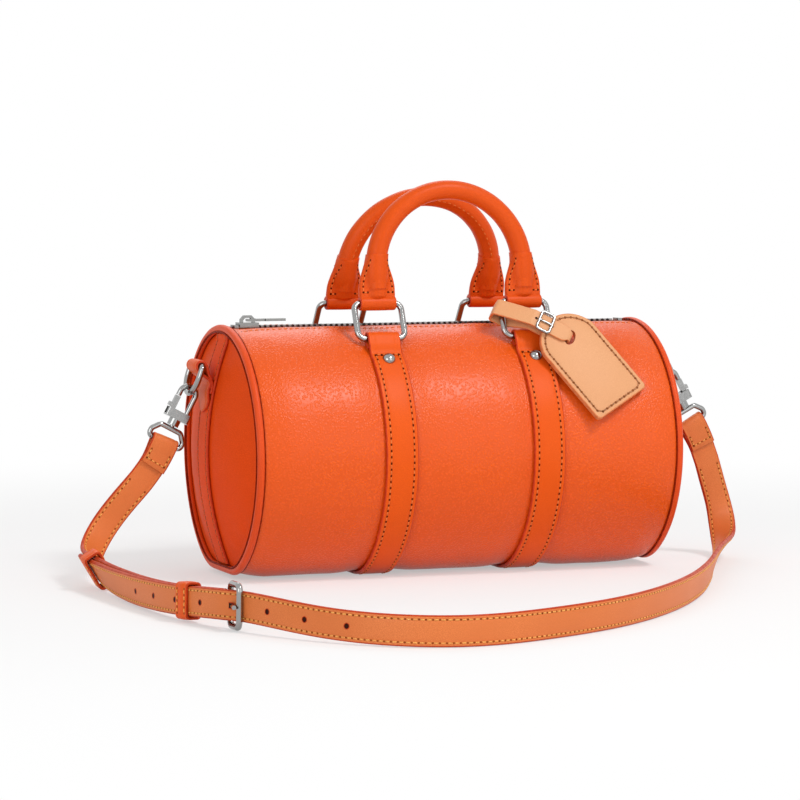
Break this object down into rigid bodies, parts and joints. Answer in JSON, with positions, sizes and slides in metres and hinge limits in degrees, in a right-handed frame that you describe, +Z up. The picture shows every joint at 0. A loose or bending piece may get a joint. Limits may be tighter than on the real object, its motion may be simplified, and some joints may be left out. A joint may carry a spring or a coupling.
{
  "type": "barrel bag",
  "caption": "Small leather barrel bag with twin rolled handles on wire rings, zip top, piped round ends, luggage tag and a buckled shoulder strap on swivel hooks.",
  "frame": {"origin": "on the floor, under the middle of the barrel", "axes": "+X along the barrel to the tag's end, -Y to the front where the strap lies, +Z up"},
  "size_m": [0.4013, 0.386, 0.2181],
  "materials": {
    "body_leather": "pebbled orange leather",
    "trim_leather": "smooth orange leather, painted edges",
    "lining_cloth": "plain woven lining",
    "board": "stiff board",
    "zip_tape": "woven tape",
    "zip_metal": "polished silver",
    "silver_metal": "polished silver",
    "core_cord": "twisted cord core",
    "strap_leather": "tan orange leather, red edge paint",
    "tag_leather": "pale natural leather"
  },
  "bodies": {
    "bag": {"barrel_shell": "body_leather", "lining": "lining_cloth", "base_board": "board", "piping_left": "trim_leather", "piping_right": "trim_leather", "end_panel_left": "body_leather", "end_panel_right": "body_leather", "end_strip_left": "trim_leather", "end_strip_right": "trim_leather", "zipper_tape_front": "zip_tape", "zipper_tape_back": "zip_tape", "zipper_teeth_front": "zip_metal", "zipper_teeth_back": "zip_metal", "zipper_stops": "zip_metal", "band_left": "trim_leather", "band_right": "trim_leather", "band_rivets": "silver_metal", "ring_tab_left": "trim_leather", "ring_tab_right": "trim_leather", "strap_short": "strap_leather", "strap_long": "strap_leather", "buckle_frame": "silver_metal", "keeper_fixed": "strap_leather"},
    "zip_slider": {"zipper_slider": "zip_metal"},
    "zip_pull": {"zipper_pull": "zip_metal"},
    "front_rings": {"ring_front_left": "silver_metal", "ring_front_right": "silver_metal"},
    "front_handle": {"handle_cover_front": "trim_leather", "handle_core_front": "core_cord", "handle_tab_front_left": "trim_leather", "handle_tab_front_right": "trim_leather"},
    "back_rings": {"ring_back_left": "silver_metal", "ring_back_right": "silver_metal"},
    "back_handle": {"handle_cover_back": "trim_leather", "handle_core_back": "core_cord", "handle_tab_back_left": "trim_leather", "handle_tab_back_right": "trim_leather"},
    "luggage_tag": {"tag_strap": "tag_leather", "tag_buckle": "silver_metal", "tag_front": "tag_leather", "tag_back": "tag_leather"},
    "strap_prong": {"buckle_prong": "silver_metal"},
    "loose_keeper": {"keeper_loose": "strap_leather"},
    "clip_left": {"d_ring_left": "silver_metal", "swivel_loop_left": "silver_metal"},
    "hook_left": {"hook_body_left": "silver_metal", "hook_gate_pin_left": "silver_metal"},
    "gate_left": {"hook_gate_left": "silver_metal"},
    "clip_right": {"d_ring_right": "silver_metal", "swivel_loop_right": "silver_metal"},
    "hook_right": {"hook_body_right": "silver_metal", "hook_gate_pin_right": "silver_metal"},
    "gate_right": {"hook_gate_right": "silver_metal"}
  },
  "joints": [
    {"name": "zip_slide", "type": "slide", "parent": "bag", "child": "zip_slider", "axis": [1, 0, 0], "range_m": [0, 0.19]},
    {"name": "zip_pull_swing", "type": "hinge", "parent": "zip_slider", "child": "zip_pull", "pos_m": [-0.1074, 0, 0.14094], "axis": [0, -1, 0], "range_deg": [0, 120]},
    {"name": "front_rings_swing", "type": "hinge", "parent": "bag", "child": "front_rings", "pos_m": [0, -0.03869, 0.13164], "axis": [1, 0, 0], "range_deg": [-1, 13]},
    {"name": "front_handle_swing", "type": "hinge", "parent": "front_rings", "child": "front_handle", "pos_m": [0, -0.03031, 0.15046], "axis": [1, 0, 0], "range_deg": [-1, 50]},
    {"name": "back_rings_swing", "type": "hinge", "parent": "bag", "child": "back_rings", "pos_m": [0, 0.03869, 0.13164], "axis": [-1, 0, 0], "range_deg": [-1, 72]},
    {"name": "back_handle_swing", "type": "hinge", "parent": "back_rings", "child": "back_handle", "pos_m": [0, 0.02658, 0.1483], "axis": [-1, 0, 0], "range_deg": [-1, 60]},
    {"name": "tag_swing", "type": "hinge", "parent": "front_rings", "child": "luggage_tag", "pos_m": [0.02945, -0.03333, 0.14368], "axis": [0, -0.4068, -0.9135], "range_deg": [-2, 21]},
    {"name": "prong_lift", "type": "hinge", "parent": "bag", "child": "strap_prong", "pos_m": [-0.18421, -0.21072, 0.01229], "axis": [-0.023, -0.02, -0.9995], "range_deg": [0, 10]},
    {"name": "keeper_slide", "type": "slide", "parent": "bag", "child": "loose_keeper", "axis": [-0.035, -0.9968, -0.072], "range_m": [-0.004, 0.004]},
    {"name": "left_ring_swing", "type": "hinge", "parent": "bag", "child": "clip_left", "pos_m": [-0.137, 0, 0.1165], "axis": [0, 1, 0], "range_deg": [-2, 15], "deforming": ["strap_short"]},
    {"name": "left_hook_swivel", "type": "hinge", "parent": "clip_left", "child": "hook_left", "pos_m": [-0.15126, 0, 0.08392], "axis": [0.4691, 0, 0.8832], "range_deg": [-10, 10]},
    {"name": "left_gate_open", "type": "hinge", "parent": "hook_left", "child": "gate_left", "pos_m": [-0.15222, 0, 0.0919], "axis": [0, 1, 0], "range_deg": [0, 19], "stiffness_Nm_per_rad": 0.02, "springref_deg": -20.05},
    {"name": "right_ring_swing", "type": "hinge", "parent": "bag", "child": "clip_right", "pos_m": [0.137, 0, 0.1165], "axis": [0, -1, 0], "range_deg": [-2, 15], "deforming": ["strap_long"]},
    {"name": "right_hook_swivel", "type": "hinge", "parent": "clip_right", "child": "hook_right", "pos_m": [0.15516, 0, 0.08582], "axis": [-0.4691, 0, 0.8832], "range_deg": [-10, 10]},
    {"name": "right_gate_open", "type": "hinge", "parent": "hook_right", "child": "gate_right", "pos_m": [0.15612, 0, 0.09381], "axis": [0, -1, 0], "range_deg": [0, 19], "stiffness_Nm_per_rad": 0.02, "springref_deg": -20.05}
  ],
  "couplings": [
    {"joint": "tag_swing", "follows": "front_rings_swing", "ratio": 1.6}
  ]
}
